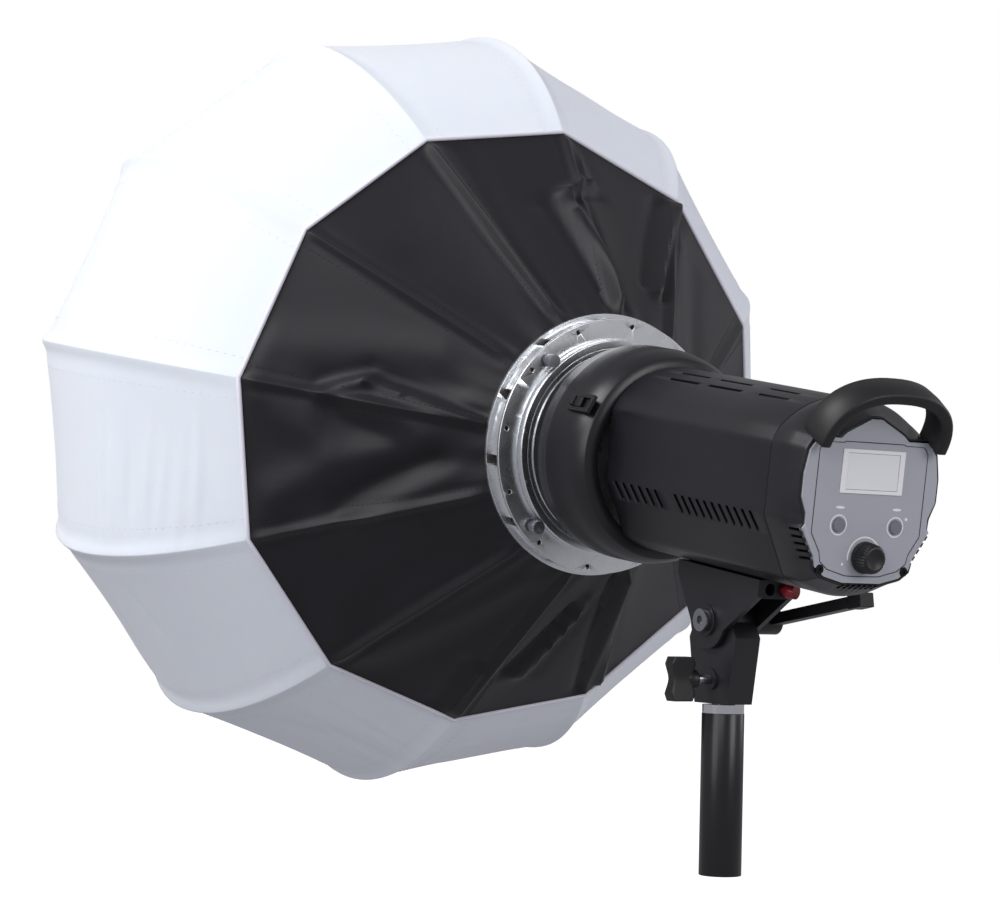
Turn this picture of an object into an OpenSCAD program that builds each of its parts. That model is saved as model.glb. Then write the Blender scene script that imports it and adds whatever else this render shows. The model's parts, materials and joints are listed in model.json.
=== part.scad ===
// Lantern softbox on a monolight flash head, with its tilting stand bracket.
// Millimetres. The origin is the centre of the stand tube's lower end, +Z up,
// and the softbox looks along -Y. Head parts are drawn in the head's own frame
// (y = 0 at the rear face of the speedring flange, +y towards the control panel)
// and head_pose() puts them in place.

/* [Softbox] */
// Diameter of the inflated diffuser across its ribs
ball_d = 650; // [560:5:700]
// Length of the full diffuser ellipsoid from front to back
ball_len = 520; // [440:5:560]
// Distance of the widest section in front of the speedring
ball_ahead = 328; // [300:2:350]
// Distance of the black panel's outer edge in front of the speedring
panel_edge = 155; // [130:1:190]
// Turn of the softbox about the head's axis
softbox_turn = 9.3; // [-15:0.1:15]
// Thickness of the diffuser cloth
cloth_t = 1; // [0.8:0.1:1.5]

/* [Speedring] */
// Outer diameter of the speedring flange
flange_d = 195; // [190:1:205]
// Diameter of the insert that the speedring turns on
insert_d = 152; // [148:1:154]
// Thickness of the speedring flange
flange_t = 3; // [2:0.5:4]

/* [Flash head] */
// Diameter of the round front barrel
barrel_d = 161; // [160:1:166]
// Diameter of the rounded main body
body_d = 135; // [132:1:137]
// Width of the main body across its flat sides
body_w = 114; // [112:1:118]
// Distance of the control panel's face behind the speedring
panel_y = 317; // [312:1:330]
// Wall thickness of the plastic covers
wall = 3; // [2.5:0.1:3.5]

/* [Tilt bracket] */
// Nose-up tilt of the head
head_tilt = 8.3; // [-40:0.1:50]
// Height of the tilt pivot above the stand tube's lower end
pivot_h = 178; // [176:1:200]
// Distance of the pivot behind the speedring
pivot_back = 171.5; // [165:0.5:180]
// Distance of the pivot below the head's axis
pivot_drop = 104.5; // [104:0.5:110]
// Diameter of the umbrella shaft hole
umbrella_d = 8.5; // [8.2:0.1:9]
// Width of the lower bracket across its side faces
bracket_w = 21; // [20:0.5:24]

/* [Stand] */
// Diameter of the stand's top tube
tube_d = 30; // [28:1:32]
// Length of tube up to its chrome ferrule
tube_len = 113; // [100:1:113]
// Diameter of the stud that the bracket slides over
stud_d = 16; // [14:0.5:16]

/* [Hidden] */

$fn = 64;
gores = 12;
gore_angle = 360 / gores;
gap = 0.3;        // air between pieces on different bodies
fit = 0.05;       // radial running clearance of a shaft in its hole
seam = 0.1;       // air between neighbouring pieces of one body

// Speedring and insert levels along the head's axis
insert_face = 8;      // rear face of the insert
rod_plate_rear = -12.5;
rod_plate_t = 3.5;
rod_plate_r = flange_d / 2 + 3;
socket_front = -24;   // front face of the rod sockets
rod_y = -20;          // axis of the rods in their sockets
rod_r = 2;
rod_start_r = 88;
panel_start_y = rod_plate_rear - rod_plate_t - 0.5;
hub_r = 24;

// Flash levels along the head's axis
mount_ring_y = insert_face + gap;
barrel_y = 24;        // front edge of the barrel
body_y = 86;          // seam between the barrel and the body
bezel_y = 281;        // seam between the body and the rear bezel
bezel_taper_y = 300;  // where the bezel starts to narrow
panel_t = 4;
body_inner = (body_w / 2 - wall) / (body_w / 2);
barrel_r = barrel_d / 2;
dome_r = 44;          // protective dome over the lamp
body_bottom = body_d / 2;

// Panel layout, x to the side and z up
display_z = 17.4;
display_w = 43;
display_h = 24;
button_x = 23.3;
button_z = -18;
button_r = 4.5;
dial_z = -38.5;
dial_r = 10.5;
screw_x = 34.6;
screw_z = -47.4;
switch_y = 222;
inlet_y = 256;
socket_y = 192;

// Bracket
ferrule_h = 6;
base_z = tube_len + ferrule_h + 0.7;    // underside of the lower bracket
tongue_r = 22;
cheek_r = 20;
cheek_t = 4.5;
cheek_x = bracket_w / 2 + gap;
block_h = 13;                            // block that holds the umbrella shaft
bolt_r = 5;
knob_z = base_z + 17;
knob_orbit = 88;                         // distance of the thumb screws from the head axis
shank_r = 3.4;
lever_x = -38;
lever_rise = 17;                         // angle of the locked lever above the head's axis
umbrella_x = 5;                          // the umbrella shaft passes beside its lock screw
lock_x = -2.4;                           // the lock screw ends just beside the umbrella shaft
lock_angle = 20;                         // lock screw's lean away from the head's axis

// Radius of the diffuser's rib line where the ellipsoid parameter is t
function rib_r(t) = ball_d / 2 * sin(t);
function rib_y(t) = -ball_ahead + ball_len / 2 * cos(t);
edge_t = acos((ball_ahead - panel_edge) / (ball_len / 2));
hub_t = 180 - asin(hub_r / (ball_d / 2));
edge_r = rib_r(edge_t);

// Half of the panel's outline from the peak down to the foot
panel_half = [[4, 54], [24, 44], [29, 40], [47, 40], [54, 31], [57, 15], [57, -1], [52, -12],
              [52, -19], [54, -22], [42, -41], [40, -48], [32, -54], [16, -58]];

// Moves children from the head's frame into the part's frame
module head_pose() {
  translate([0, 0, pivot_h])
    rotate([-head_tilt, 0, 0])
      translate([0, -pivot_back, pivot_drop])
        children();
}

// Moves children from the softbox's frame into the part's frame
module softbox_pose() {
  head_pose()
    rotate([0, softbox_turn, 0])
      children();
}

// Lays a solid of revolution along the head's axis: its own z becomes y
module lengthwise() {
  rotate([-90, 0, 0])
    children();
}

// A plain cylinder along the head's axis from y0 to y1
module bar(r, y0, y1) {
  translate([0, y0, 0])
    lengthwise()
      cylinder(r = r, h = y1 - y0);
}

// A tube along the head's axis from y0 to y1
module ring(r_out, r_in, y0, y1) {
  difference() {
    bar(r_out, y0, y1);
    bar(r_in, y0 - 1, y1 + 1);
  }
}

// Extrudes an x-z outline from y0 to y1
module slab(y0, y1) {
  translate([0, y1, 0])
    rotate([90, 0, 0])
      linear_extrude(y1 - y0)
        children();
}

// Repeats children around the head's axis
module around(count, start = 0) {
  for (i = [0 : count - 1])
    rotate([0, start + i * 360 / count, 0])
      children();
}

// A plain cylinder along x from x0 to x1
module pin_x(r, x0, x1) {
  translate([x0, 0, 0])
    rotate([0, 90, 0])
      cylinder(r = r, h = x1 - x0);
}

// A closed outline from its right half
module both_halves(half) {
  last = len(half) - 1;
  polygon(concat(half, [for (i = [last : -1 : 0]) [-half[i][0], half[i][1]]]));
}

// ---- Stand ----

module stand_tube() color("#17171a") {
  difference() {
    cylinder(d = tube_d, h = tube_len);
    translate([0, 0, -1])
      cylinder(d = tube_d - 3, h = tube_len + 2);
  }
}

module tube_ferrule() color("#d8dade") {
  translate([0, 0, tube_len])
    difference() {
      cylinder(d = tube_d - 0.4, h = ferrule_h);
      translate([0, 0, -1])
        cylinder(d = stud_d, h = ferrule_h + 2);
    }
}

module stand_stud() color("#b9bbc0") {
  translate([0, 0, tube_len - 60])
    difference() {
      union() {
        cylinder(d = stud_d, h = 105);
        cylinder(d = tube_d - 3, h = 24);
      }
      translate([0, 0, knob_z - tube_len + 60])
        rotate_extrude()
          translate([stud_d / 2 + 1, 0])
            circle(r = 3);
    }
}

// ---- Lower bracket ----

module bracket_outline() {
  polygon([[-20.5, base_z - pivot_h], [19.5, base_z - pivot_h], [28, -12], [21.5, 0],
           [-21.5, 0], [-28, -12]]);
}

module bracket_base() color("#2a2a2e") {
  difference() {
    union() {
      translate([-bracket_w / 2, 0, pivot_h])
        rotate([90, 0, 90])
          linear_extrude(bracket_w)
            bracket_outline();
      translate([0, 0, pivot_h])
        pin_x(tongue_r, -bracket_w / 2, bracket_w / 2);
      translate([0, 0, knob_z])
        pin_x(7.5, 0, bracket_w / 2 + 2);
    }
    translate([0, 0, base_z - 1])
      cylinder(d = stud_d + 2 * fit, h = tube_len - 60 + 105 - base_z + 2);
    translate([0, 0, pivot_h])
      pin_x(bolt_r + fit, -bracket_w, bracket_w);
    translate([0, 0, knob_z])
      pin_x(shank_r + fit, 0, bracket_w);
  }
}

module knob_shank() color("#9b9da3") {
  translate([0, 0, knob_z])
    pin_x(shank_r, stud_d / 2 + gap, bracket_w / 2 + 14);
}

module stand_knob() color("#1b1b1d") {
  translate([bracket_w / 2 + 14 + 0.05, 0, knob_z]) {
    difference() {
      translate([0, -6, -16])
        cube([24, 12, 32]);
      for (side = [-1, 1])
        for (end = [-1, 1])
          translate([end < 0 ? 0 : 24, -7, side * 16])
            rotate([0, 45, 0])
              translate([-4, 0, -4])
                cube([8, 14, 8]);
      for (side = [-1, 1])
        translate([12, side * 15, -17])
          cylinder(r = 11, h = 34);
    }
  }
}

// ---- Tilting fork under the head ----

module fork_cheek(side) {
  x0 = side > 0 ? cheek_x : -cheek_x - cheek_t;
  block_z = pivot_drop - body_bottom;
  translate([x0, 0, 0]) {
    rotate([90, 0, 90])
      linear_extrude(cheek_t)
        polygon([[-42, block_z], [-42, block_z - 9], [-18, -6], [18, -6], [56, block_z - 12],
                 [56, block_z]]);
    pin_x(cheek_r, 0, cheek_t);
  }
}

module tilt_fork() color("#1d1d20") {
  block_z = pivot_drop - body_bottom;
  head_pose()
    translate([0, pivot_back, -pivot_drop])
      difference() {
        union() {
          fork_cheek(1);
          fork_cheek(-1);
          translate([-cheek_x, -42, block_z - block_h])
            cube([2 * cheek_x, 98, block_h]);
          pin_x(11, cheek_x, cheek_x + cheek_t + 2);
          pin_x(11, -cheek_x - cheek_t - 2, -cheek_x);
        }
        pin_x(bolt_r + fit, -30, 30);
        translate([umbrella_x, -50, block_z - block_h / 2])
          bar(umbrella_d / 2, 0, 120);
        translate([lock_x, 46, block_z - block_h / 2])
          rotate([0, 0, lock_angle])
            bar(2.6, -3, 20);
      }
}

module tilt_bolt() color("#8e9096") {
  head_pose()
    translate([0, pivot_back, -pivot_drop])
      difference() {
        union() {
          pin_x(bolt_r, -cheek_x - cheek_t - 12, cheek_x + cheek_t + 2.1);
          pin_x(8, cheek_x + cheek_t + 2.1, cheek_x + cheek_t + 6.6);
        }
        translate([cheek_x + cheek_t + 3.6, 0, 0])
          rotate([0, 90, 0])
            cylinder(r = 3.4, h = 6, $fn = 6);
      }
}

module tilt_nut() color("#9b9da3") {
  head_pose()
    translate([-cheek_x - cheek_t - 4.6, pivot_back, -pivot_drop])
      difference() {
        pin_x(9, 0, 2.5);
        pin_x(bolt_r + seam, -1, 4);
      }
}

module lever_hub() color("#1b1b1d") {
  head_pose()
    translate([0, pivot_back, -pivot_drop])
      difference() {
        pin_x(9.5, lever_x - 6, -cheek_x - cheek_t - 4.9);
        pin_x(bolt_r + fit, -cheek_x - cheek_t - 12.1, 0);
      }
}

module tilt_lever() color("#1b1b1d") {
  head_pose()
    translate([0, pivot_back, -pivot_drop])
      rotate([lever_rise, 0, 0])
        difference() {
          union() {
            translate([lever_x - 5, 0, -4])
              cube([10, 104, 8]);
            translate([lever_x - 6, 98, -5])
              cube([12, 14, 10]);
          }
          pin_x(9.5 + seam, lever_x - 8, lever_x + 8);
        }
}

module umbrella_screw() color("#a3182a") {
  block_z = pivot_drop - body_bottom;
  head_pose()
    translate([lock_x, pivot_back + 46, -pivot_drop + block_z - block_h / 2])
      rotate([0, 0, lock_angle]) {
        bar(2.5, 0, 12.6);
        bar(4.2, 12.5, 14);
        bar(5, 14, 21);
      }
}

// ---- Front of the flash ----

module front_barrel() color("#232328") head_pose() {
  difference() {
    union() {
      bar(barrel_r, barrel_y + 2, body_y);
      bar(barrel_r - 2, barrel_y, barrel_y + 3);
    }
    bar(barrel_r - wall, barrel_y + wall, body_y - wall);
    bar(body_d / 2 - wall, body_y - wall - 1, body_y + 1);
    bar(62, barrel_y - 1, barrel_y + wall + 1);
  }
}

module mount_ring() color("#101012") head_pose() {
  ring(73, 66, mount_ring_y, barrel_y - 3);
  ring(73, 62.5, barrel_y - 3, barrel_y);
}

module bayonet_insert() color("#aeb2b8") head_pose() {
  difference() {
    union() {
      bar(insert_d / 2 - fit, -6, insert_face);
      bar(insert_d / 2 + 3, -6, -3 - gap);
      bar(57, 0, 20);
      around(3, 30)
        translate([-8, 15, 50])
          cube([16, 4, 13]);
    }
    bar(50, -7, 21);
    ring(insert_d / 2 + 5, 72, insert_face - 2, insert_face + 1);
  }
}

module slide_guide() color("#1b1b1d") head_pose()
  rotate([0, 64, 0])
    difference() {
      translate([-7, 58, barrel_r + seam])
        cube([14, 28, 3]);
      translate([-4, 57, barrel_r + 0.4])
        cube([8, 26, 4]);
    }

module release_slide() color("#121214") head_pose()
  rotate([0, 64, 0]) {
    translate([-3.7, 60, barrel_r + 0.7])
      cube([7.4, 14, 3]);
    translate([-3.7, 62, barrel_r + 3.6])
      cube([7.4, 4, 2]);
  }

// ---- Body covers ----

module body_outline() {
  side = body_w / 2;
  intersection() {
    circle(r = body_d / 2, $fn = 96);
    polygon([[-side, 80], [side, 80], [side, -17], [side - 15, -46], [24, -80], [-24, -80],
             [15 - side, -46], [-side, -17]]);
  }
}

module side_cutouts() {
  translate([-body_w, inlet_y - 14, -12])
    cube([body_w, 28, 20.4]);
  translate([-body_w, switch_y - 11, -12])
    cube([body_w, 22, 16]);
  translate([0, socket_y, -4])
    pin_x(5, -body_w, 0);
}

module vent_row(y0, y1, count) {
  pitch = (y1 - y0) / (count - 1);
  for (side = [-1, 1])
    for (i = [0 : count - 1])
      translate([side * 52, y0 + i * pitch, -30])
        rotate([0, side * -35, 0])
          cube([14, 2, 16], center = true);
}

module body_shell() color("#232328") head_pose()
  difference() {
    slab(body_y + seam, bezel_y)
      body_outline();
    slab(body_y - 1, bezel_y + 1)
      scale(body_inner)
        body_outline();
    vent_row(103, 154, 5);
    vent_row(179, 268, 10);
    difference() {
      side_cutouts();
      translate([-20, 0, -80])
        cube([100, 400, 160]);
    }
  }

module bezel_hull(grow) {
  factor = 1 + grow / 57;
  hull() {
    slab(bezel_taper_y, bezel_taper_y + 1)
      scale(factor)
        body_outline();
    slab(panel_y - 3, panel_y - 2)
      scale(factor)
        both_halves(panel_half);
  }
  slab(bezel_y + seam, bezel_taper_y + 0.5)
    scale(factor)
      body_outline();
}

module rear_bezel() color("#26262b") head_pose()
  difference() {
    bezel_hull(0);
    slab(bezel_y - 1, panel_y)
      scale(0.9)
        both_halves(panel_half);
    slab(panel_y - panel_t - seam, panel_y + 1)
      scale(0.965)
        both_halves(panel_half);
  }

// ---- Control panel ----

module control_panel() color("#8f9099") head_pose()
  difference() {
    slab(panel_y - panel_t, panel_y)
      scale(0.96)
        both_halves(panel_half);
    translate([-display_w / 2, panel_y - 6, display_z - display_h / 2])
      cube([display_w, 8, display_h]);
    for (side = [-1, 1]) {
      translate([side * button_x, 0, button_z])
        bar(button_r + 0.2, panel_y - 6, panel_y + 1);
      translate([side * screw_x, 0, screw_z])
        bar(1.6, panel_y - 6, panel_y + 1);
      translate([side * screw_x, 0, screw_z])
        bar(3.3, panel_y - 1.2, panel_y + 1);
    }
    translate([0, 0, dial_z])
      bar(3 + fit, panel_y - 6, panel_y + 1);
  }

module display_frame() color("#e8e9ec") head_pose()
  translate([0, 0, display_z])
    difference() {
      translate([-display_w / 2 - 4, panel_y + 0.05, -display_h / 2 - 2.4])
        cube([display_w + 8, 0.8, display_h + 4.8]);
      translate([-display_w / 2, panel_y - 1, -display_h / 2])
        cube([display_w, 3, display_h]);
    }

module display_window() color("#eef0f4") head_pose()
  translate([-display_w / 2 + 0.2, panel_y - 3, display_z - display_h / 2 + 0.2])
    cube([display_w - 0.4, 3.3, display_h - 0.4]);

module power_dial() color("#151517") head_pose()
  translate([0, 0, dial_z])
    difference() {
      union() {
        bar(3, panel_y - 12, panel_y + 2);
        bar(dial_r, panel_y + 0.4, panel_y + 12);
        bar(dial_r - 1.2, panel_y + 12, panel_y + 13.2);
      }
      around(24)
        translate([0, 0, dial_r + 0.4])
          bar(0.8, panel_y + 2, panel_y + 14);
    }

module push_button(side) {
  head_pose()
    translate([side * button_x, 0, button_z]) {
      bar(button_r, panel_y - 3, panel_y + 1.6);
      bar(button_r + 1, panel_y - panel_t - 2.5, panel_y - panel_t - 1.4);
      bar(button_r - 1, panel_y - panel_t - 1.5, panel_y - 2.9);
    }
}

module button_left() color("#8a8b93") push_button(1);

module button_right() color("#8a8b93") push_button(-1);

module panel_screws() color("#0e0e10") head_pose()
  for (side = [-1, 1])
    translate([side * screw_x, 0, screw_z]) {
      bar(1.5, panel_y - 5.5, panel_y - 1);
      difference() {
        bar(3.1, panel_y - 1.1, panel_y + 0.2);
        bar(1.2, panel_y - 0.6, panel_y + 1);
      }
    }

module control_board() color("#1f5a3a") head_pose()
  translate([-40, panel_y - 16, -36])
    cube([80, 1.6, 66]);

// ---- Handle and sensor ----

module handle_arch() {
  outer = [56, 42];
  inner = [48, 33];
  steps = 20;
  polygon(concat(
    [for (i = [0 : steps]) [outer[0] * cos(i * 180 / steps), outer[1] * sin(i * 180 / steps)]],
    [for (i = [steps : -1 : 0]) [inner[0] * cos(i * 180 / steps), inner[1] * sin(i * 180 / steps)]]
  ));
}

module carry_handle() color("#141416") head_pose()
  difference() {
    translate([0, panel_y - 5, 40])
      rotate([-28, 0, 0]) {
        slab(-6, 16)
          handle_arch();
        for (side = [-1, 1])
          translate([side * 52 - 4, -6, -6])
            cube([8, 22, 6.5]);
      }
    bezel_hull(0.4);
    slab(panel_y - 3, panel_y + 0.2)
      both_halves(panel_half);
  }

module sensor_dome() color("#cfd0d4") head_pose()
  translate([0, 291, body_d / 2 + seam])
    intersection() {
      translate([0, 0, -3])
        sphere(r = 8.5);
      translate([-10, -10, 0])
        cube([20, 20, 10]);
    }

// ---- Inside the flash ----

module reflector_plate() color("#eceded") head_pose()
  difference() {
    bar(61.5, 27.2, 28.7);
    bar(13.2, 26, 30);
    for (side = [-1, 1])
      translate([side * 31, 0, 0])
        bar(3, 26, 30);
  }

module flash_tube() color("#e9eef2") head_pose() {
  translate([0, 10, 0])
    lengthwise()
      rotate_extrude()
        translate([31, 0])
          circle(r = 4, $fn = 24);
  for (side = [-1, 1])
    translate([side * 31, 0, 0])
      bar(2.4, 13, 34);
}

module modelling_lamp() color("#fbf6e4") head_pose() {
  translate([0, -8, 0])
    sphere(r = 17);
  bar(8, 0, 28.5);
}

module lamp_socket() color("#f2f2ee") head_pose()
  difference() {
    bar(13, 26, 52);
    bar(8.3, 25, 29);
    bar(8.3, 28, 30);
  }

module glass_dome() color("#f4f6f8") head_pose()
  translate([0, -6, 0])
    lengthwise()
      difference() {
        union() {
          cylinder(r = dome_r, h = 33);
          sphere(r = dome_r);
        }
        cylinder(r = dome_r - 2.5, h = 60);
        sphere(r = dome_r - 2.5);
        translate([0, 0, 33])
          cylinder(r = dome_r, h = 20);
      }

module fan_frame() color("#1b1b1d") head_pose()
  difference() {
    translate([-38, 205, -38])
      cube([76, 20, 76]);
    bar(35, 204, 226);
  }

module fan_rotor() color("#26262a") head_pose() {
  bar(13, 206, 224);
  around(7)
    translate([0, 215, 12])
      rotate([0, 0, 40])
        translate([-9, -0.8, 0])
          cube([18, 1.6, 21]);
}

module capacitors() color("#2b3f78") head_pose()
  for (place = [[-18, -42], [18, -42], [0, -12]])
    translate([place[0], 0, place[1]])
      bar(16, 110, 175);

module main_board() color("#1f5a3a") head_pose()
  translate([-44, 100, 20])
    cube([88, 95, 1.6]);

module mains_inlet() color("#101012") head_pose()
  difference() {
    union() {
      translate([-body_w / 2 - 1.5, inlet_y - 15.5, -13.5])
        cube([1.4, 31, 23.4]);
      translate([-body_w / 2 - 0.5, inlet_y - 13.8, -11.8])
        cube([20, 27.6, 20]);
    }
    translate([-body_w / 2 - 2, inlet_y - 11.5, -9])
      cube([18, 23, 14.5]);
  }

module inlet_pins() color("#b9bbc0") head_pose()
  for (place = [[-7, -4], [7, -4], [0, 0.5]])
    translate([-body_w / 2 + 6, inlet_y + place[0] - 1, place[1] - 2])
      cube([9.95, 2, 4]);

module switch_frame() color("#101012") head_pose()
  difference() {
    union() {
      translate([-body_w / 2 - 1.5, switch_y - 12.5, -13.5])
        cube([1.4, 25, 19]);
      translate([-body_w / 2 - 0.5, switch_y - 10.8, -11.8])
        cube([14, 21.6, 15.6]);
    }
    translate([-body_w / 2 - 2, switch_y - 9, -10])
      cube([14, 18, 12]);
  }

module power_switch() color("#2a2a2e") head_pose()
  translate([-body_w / 2 + 3, switch_y, -4])
    rotate([0, 0, 8])
      translate([-5, -7.6, -5.7])
        cube([7, 15.2, 11.4]);

module sync_socket() color("#b9bbc0") head_pose()
  translate([0, socket_y, -4])
    difference() {
      union() {
        pin_x(4.8, -body_w / 2 - 1, -body_w / 2 + 16);
        pin_x(6.5, -body_w / 2 - 1.4, -body_w / 2 - 0.1);
      }
      pin_x(1.8, -body_w / 2 - 2, -body_w / 2 + 14);
    }

// ---- Speedring ----

module speedring_flange() color("#b4b8be") softbox_pose()
  difference() {
    bar(flange_d / 2, -flange_t, 0);
    bar(insert_d / 2 + fit, -flange_t - 1, 1);
    around(gores, gore_angle / 2)
      translate([0, 0, flange_d / 2 - 5])
        bar(1.8, -flange_t - 1, 1);
  }

module speedring_collar() color("#c3c6cb") softbox_pose()
  ring(82, insert_d / 2 + fit, 0, 7);

module rod_plate() color("#a7abb1") softbox_pose()
  difference() {
    union() {
      bar(rod_plate_r, rod_plate_rear - rod_plate_t, rod_plate_rear);
      ring(flange_d / 2 - 1, flange_d / 2 - 4, rod_plate_rear, -flange_t);
    }
    bar(insert_d / 2 + 4, -30, 1);
    around(gores)
      translate([-4, rod_plate_rear - 0.1, flange_d / 2 - 10])
        cube([8, 20, 16]);
  }

module rod_sockets() color("#8e9197") softbox_pose()
  around(gores, gore_angle / 2)
    translate([-5, socket_front, 66])
      difference() {
        cube([10, rod_plate_rear - rod_plate_t - socket_front, rod_start_r - 66]);
        translate([5, rod_y - socket_front, 10])
          cylinder(r = rod_r + seam, h = 40);
      }

// One straight or curved rod swept along its own rib line in the y-z plane
function rib_line() = concat(
  [[rod_y, rod_start_r - 8], [rod_y, rod_start_r + 2]],
  [[-panel_edge - 5, edge_r - 6]],
  [for (i = [1 : 11]) let (t = edge_t + (hub_t - edge_t) * i / 11)
    [rib_y(t) + 4 * cos(180 - t), rib_r(t) - (i == 11 ? 0 : 5 * sin(t))]]
);

module rib() {
  line = rib_line();
  last = len(line) - 1;
  sides = 6;
  ring_points = [
    for (i = [0 : last])
      let (before = line[max(i - 1, 0)],
           after = line[min(i + 1, last)],
           along = (after - before) / norm(after - before),
           across = [-along[1], along[0]])
        for (k = [0 : sides - 1])
          let (a = k * 360 / sides)
            [rod_r * cos(a),
             line[i][0] + rod_r * sin(a) * across[0],
             line[i][1] + rod_r * sin(a) * across[1]]
  ];
  side_faces = [
    for (i = [0 : last - 1])
      for (k = [0 : sides - 1])
        let (n = (k + 1) % sides)
          [i * sides + k, i * sides + n, (i + 1) * sides + n, (i + 1) * sides + k]
  ];
  polyhedron(
    points = ring_points,
    faces = concat([[for (k = [sides - 1 : -1 : 0]) k]], side_faces,
                   [[for (k = [0 : sides - 1]) last * sides + k]])
  );
}

module ribs() color("#c9ccd2") softbox_pose()
  around(gores, gore_angle / 2)
    rib();

module front_hub() color("#2a2a2e") softbox_pose()
  bar(hub_r - 4, rib_y(hub_t) + 1, rib_y(hub_t) + 8);

// ---- Softbox covers ----

// One flat-sided gore: rows of [y, r] from the back to the front, as a shell of thickness t
module gore(rows, t) {
  last = len(rows) - 1;
  half = gore_angle / 2 - 0.05;
  points = [
    for (row = rows)
      for (side = [-1, 1])
        for (depth = [0, t])
          let (r = row[1] - depth * row[3], y = row[0] + depth * row[2])
            [side * r * sin(half), y, r * cos(half)]
  ];
  strips = [
    for (i = [0 : last - 1])
      let (a = 4 * i, b = 4 * i + 4)
        each [[a, a + 2, b + 2, b], [a + 3, a + 1, b + 1, b + 3],
              [a + 1, a, b, b + 1], [a + 2, a + 3, b + 3, b + 2]]
  ];
  end = 4 * last;
  polyhedron(
    points = points,
    faces = concat([[0, 1, 3, 2]], strips, [[end, end + 2, end + 3, end + 1]])
  );
}

module back_panel() color("#2b2933") softbox_pose()
  around(gores)
    gore([[panel_start_y, rod_plate_r - 2, -1, 0],
          [-panel_edge, edge_r, -1, 0]], 1.2);

module diffuser() color("#eceaf4") softbox_pose()
  around(gores)
    gore([for (i = [0 : 13])
            let (t = edge_t + 0.35 + (hub_t - edge_t - 0.35) * i / 13)
              [rib_y(t), rib_r(t), -cos(t), sin(t)]], cloth_t);

module front_cap() color("#eceaf4") softbox_pose()
  translate([0, rib_y(hub_t) - 1, 0])
    lengthwise()
      rotate([0, 0, gore_angle / 2])
        cylinder(r = hub_r - 0.5, h = cloth_t, $fn = 12);

module panel_hem() color("#f1f0f6") softbox_pose()
  around(gores)
    gore([[-panel_edge + 2.6, edge_r + 0.2, 0, 1],
          [-panel_edge + 0.3, edge_r + 1.2, 0, 1]], 0.8);

module ring_knob(index) {
  softbox_pose()
    rotate([0, -54 + 90 * index, 0])
      translate([0, 0, knob_orbit]) {
        bar(2.6, 0.1, 3);
        difference() {
          bar(5, 2.5, 10.5);
          around(16)
            translate([0, 0, 5.2])
              bar(0.5, 2, 11);
        }
      }
}

module ring_knob_1() color("#9fa2a8") ring_knob(0);

module ring_knob_2() color("#9fa2a8") ring_knob(1);

module ring_knob_3() color("#9fa2a8") ring_knob(2);

module ring_knob_4() color("#9fa2a8") ring_knob(3);

stand_tube();
tube_ferrule();
stand_stud();
bracket_base();
stand_knob();
knob_shank();
tilt_fork();
tilt_bolt();
tilt_nut();
tilt_lever();
lever_hub();
umbrella_screw();
front_barrel();
mount_ring();
bayonet_insert();
release_slide();
slide_guide();
body_shell();
rear_bezel();
control_panel();
display_frame();
display_window();
power_dial();
button_left();
button_right();
panel_screws();
control_board();
carry_handle();
sensor_dome();
reflector_plate();
flash_tube();
modelling_lamp();
lamp_socket();
glass_dome();
fan_frame();
fan_rotor();
capacitors();
main_board();
mains_inlet();
inlet_pins();
switch_frame();
power_switch();
sync_socket();
speedring_flange();
speedring_collar();
rod_plate();
rod_sockets();
ribs();
front_hub();
back_panel();
diffuser();
front_cap();
panel_hem();
ring_knob_1();
ring_knob_2();
ring_knob_3();
ring_knob_4();
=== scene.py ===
"""Looks of a lantern softbox on its flash head, speedring and stand bracket.

Everything is in metres in the row frame. Most pieces are modelled in the head's own frame, in millimetres:
x to the side, y along the head's axis towards the control panel with 0 at the speedring, z up.
"""

import json
import logging
import math
from collections.abc import Callable
from dataclasses import dataclass, field
from enum import Enum

import bpy
import numpy as np
from mathutils import Euler, Matrix, Vector

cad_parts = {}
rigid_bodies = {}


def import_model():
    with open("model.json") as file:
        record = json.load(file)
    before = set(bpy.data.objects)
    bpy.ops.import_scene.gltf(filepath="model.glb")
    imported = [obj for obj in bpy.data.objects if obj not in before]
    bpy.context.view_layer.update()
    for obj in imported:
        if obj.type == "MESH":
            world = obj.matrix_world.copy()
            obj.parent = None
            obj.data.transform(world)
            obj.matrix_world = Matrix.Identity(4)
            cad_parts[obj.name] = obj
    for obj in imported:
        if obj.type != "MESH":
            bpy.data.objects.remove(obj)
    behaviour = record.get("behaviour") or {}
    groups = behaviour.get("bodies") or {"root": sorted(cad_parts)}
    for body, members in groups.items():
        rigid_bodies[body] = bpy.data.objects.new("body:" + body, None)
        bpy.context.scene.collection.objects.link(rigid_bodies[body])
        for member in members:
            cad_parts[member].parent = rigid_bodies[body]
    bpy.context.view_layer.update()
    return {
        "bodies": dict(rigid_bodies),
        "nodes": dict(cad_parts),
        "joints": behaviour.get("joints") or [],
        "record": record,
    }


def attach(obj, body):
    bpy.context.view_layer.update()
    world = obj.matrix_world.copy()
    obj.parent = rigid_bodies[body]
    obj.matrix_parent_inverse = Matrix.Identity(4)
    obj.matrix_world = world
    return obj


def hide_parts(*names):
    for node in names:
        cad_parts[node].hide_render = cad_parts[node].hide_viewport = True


LOG = logging.getLogger("softbox")
MM = 0.001
Point = tuple[float, float, float]
Pair = tuple[float, float]
Surface = Callable[[int], tuple[np.ndarray, np.ndarray]]


class Pattern(Enum):
    """Surface structures that a finish can have."""

    MOULDED = "moulded"
    POWDER = "powder coat"
    PLATED = "plated"
    WEAVE = "weave"
    SMOOTH = "smooth"


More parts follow.
